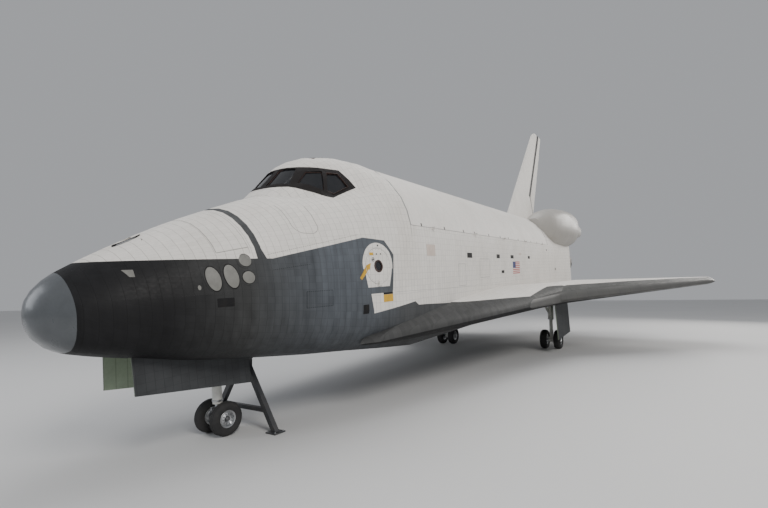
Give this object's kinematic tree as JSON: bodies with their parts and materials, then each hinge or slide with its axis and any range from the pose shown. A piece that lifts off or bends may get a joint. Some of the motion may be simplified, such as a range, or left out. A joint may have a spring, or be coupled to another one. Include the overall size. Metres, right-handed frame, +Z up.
{
  "type": "spaceplane orbiter",
  "caption": "Winged spaceplane orbiter on its landing gear, with a payload bay, side hatch, elevons, split rudder, body flap and turning wheels.",
  "frame": {"origin": "middle of the bounding box, on the floor the tyres stand on", "axes": "+X from the nose to the tail, +Y to starboard, +Z up; the craft stands 3.5 degrees nose down on its gear"},
  "size_m": [36.4318, 23.7896, 17.3482],
  "materials": {
    "bare_metal": "machined metal",
    "bell_metal": "dark brushed metal",
    "black_tile": "slate black tiles, matt",
    "cabin_panel": "blue grey panel",
    "door_blanket": "white panels, matt",
    "gear_paint": "white gloss paint",
    "glass": "dark tinted pane",
    "grey_door": "grey paint, matt",
    "nose_carbon": "grey moulded nose cap, satin",
    "seat_fabric": "dark woven cover",
    "stand_paint": "black paint, satin",
    "tyre_rubber": "black rubber",
    "white_tile": "white tiles, matt",
    "wing_carbon": "grey moulded edge panels, satin"
  },
  "bodies": {
    "airframe": {"nose_cap": "nose_carbon", "nose_body": "black_tile", "rcs_module": "white_tile", "crew_section": "white_tile", "windshield": "glass", "overhead_window": "glass", "flight_deck": "cabin_panel", "mid_deck": "cabin_panel", "seat_left": "seat_fabric", "seat_right": "seat_fabric", "mid_fuselage": "white_tile", "aft_fuselage": "white_tile", "engine_upper": "bell_metal", "engine_left": "bell_metal", "engine_right": "bell_metal", "wing_right": "white_tile", "wing_left": "white_tile", "wing_edge_right": "wing_carbon", "wing_edge_left": "wing_carbon", "fin": "white_tile", "engine_pod_right": "white_tile", "engine_pod_left": "white_tile", "pod_nozzle_right": "bell_metal", "pod_nozzle_left": "bell_metal", "nose_leg": "gear_paint", "nose_door_right": "black_tile", "nose_door_left": "black_tile", "main_leg_right": "gear_paint", "main_leg_left": "gear_paint", "main_door_right": "grey_door", "main_door_left": "grey_door", "nose_stand": "stand_paint"},
    "bay_door_left": {"bay_door_left": "door_blanket"},
    "bay_door_right": {"bay_door_right": "door_blanket"},
    "side_hatch": {"side_hatch": "white_tile", "hatch_window": "glass"},
    "elevon_inner_left": {"elevon_inner_left": "white_tile"},
    "elevon_inner_right": {"elevon_inner_right": "white_tile"},
    "elevon_outer_left": {"elevon_outer_left": "white_tile"},
    "elevon_outer_right": {"elevon_outer_right": "white_tile"},
    "body_flap": {"body_flap": "black_tile"},
    "rudder": {"rudder_post": "bare_metal"},
    "rudder_panel_left": {"rudder_left": "white_tile"},
    "rudder_panel_right": {"rudder_right": "white_tile"},
    "nose_fork": {"nose_fork": "bare_metal"},
    "nose_wheels": {"nose_axle": "bare_metal", "nose_tyre_left": "tyre_rubber", "nose_tyre_right": "tyre_rubber"},
    "main_wheels_left": {"main_axle_left": "bare_metal", "main_tyre_left_in": "tyre_rubber", "main_tyre_left_out": "tyre_rubber"},
    "main_wheels_right": {"main_axle_right": "bare_metal", "main_tyre_right_in": "tyre_rubber", "main_tyre_right_out": "tyre_rubber"}
  },
  "joints": [
    {"name": "bay_door_left_hinge", "type": "hinge", "parent": "airframe", "child": "bay_door_left", "pos_m": [-0.48441, -2.70256, 6.05604], "axis": [0.9981, 0, 0.061], "range_deg": [0, 175.5]},
    {"name": "bay_door_right_hinge", "type": "hinge", "parent": "airframe", "child": "bay_door_right", "pos_m": [-0.48441, 2.70256, 6.05604], "axis": [-0.9981, 0, -0.061], "range_deg": [0, 175.5]},
    {"name": "side_hatch_hinge", "type": "hinge", "parent": "airframe", "child": "side_hatch", "pos_m": [-11.31413, -2.60858, 3.58944], "axis": [0.9919, -0.1118, 0.0607], "range_deg": [0, 90]},
    {"name": "elevon_inner_left_hinge", "type": "hinge", "parent": "airframe", "child": "elevon_inner_left", "pos_m": [10.99459, -3.0226, 3.52375], "axis": [0.0035, 0.9983, -0.0575], "range_deg": [-35, 20]},
    {"name": "elevon_outer_left_hinge", "type": "hinge", "parent": "airframe", "child": "elevon_outer_left", "pos_m": [10.96389, -11.7348, 4.02573], "axis": [0.0035, 0.9983, -0.0575], "range_deg": [-35, 20]},
    {"name": "elevon_inner_right_hinge", "type": "hinge", "parent": "airframe", "child": "elevon_inner_right", "pos_m": [10.99459, 3.0226, 3.52375], "axis": [-0.0035, 0.9983, 0.0575], "range_deg": [-35, 20]},
    {"name": "elevon_outer_right_hinge", "type": "hinge", "parent": "airframe", "child": "elevon_outer_right", "pos_m": [10.96389, 11.7348, 4.02573], "axis": [-0.0035, 0.9983, 0.0575], "range_deg": [-35, 20]},
    {"name": "body_flap_hinge", "type": "hinge", "parent": "airframe", "child": "body_flap", "pos_m": [14.89781, 0, 3.7803], "axis": [0, 1, 0], "range_deg": [-11.7, 22.55]},
    {"name": "rudder_hinge", "type": "hinge", "parent": "airframe", "child": "rudder", "pos_m": [13.30271, 0, 10.99888], "axis": [0.52, 0, 0.8542], "range_deg": [-27.1, 27.1]},
    {"name": "speed_brake_left", "type": "hinge", "parent": "rudder", "child": "rudder_panel_left", "pos_m": [13.30271, 0, 10.99888], "axis": [-0.52, 0, -0.8542], "range_deg": [0, 49.3]},
    {"name": "speed_brake_right", "type": "hinge", "parent": "rudder", "child": "rudder_panel_right", "pos_m": [13.30271, 0, 10.99888], "axis": [0.52, 0, 0.8542], "range_deg": [0, 49.3]},
    {"name": "nose_steering", "type": "hinge", "parent": "airframe", "child": "nose_fork", "pos_m": [-14.51666, 0, 0.40603], "axis": [-0.061, 0, 0.9981], "range_deg": [-10, 10]},
    {"name": "nose_wheel_spin", "type": "hinge", "parent": "nose_fork", "child": "nose_wheels", "pos_m": [-14.51666, 0, 0.40603], "axis": [0, 1, 0], "continuous": true},
    {"name": "main_wheel_spin_left", "type": "hinge", "parent": "airframe", "child": "main_wheels_left", "pos_m": [5.52621, -3.4544, 0.56515], "axis": [0, 1, 0], "continuous": true},
    {"name": "main_wheel_spin_right", "type": "hinge", "parent": "airframe", "child": "main_wheels_right", "pos_m": [5.52621, 3.4544, 0.56515], "axis": [0, 1, 0], "continuous": true}
  ],
  "couplings": [
    {"joint": "speed_brake_right", "follows": "speed_brake_left", "ratio": 1}
  ]
}
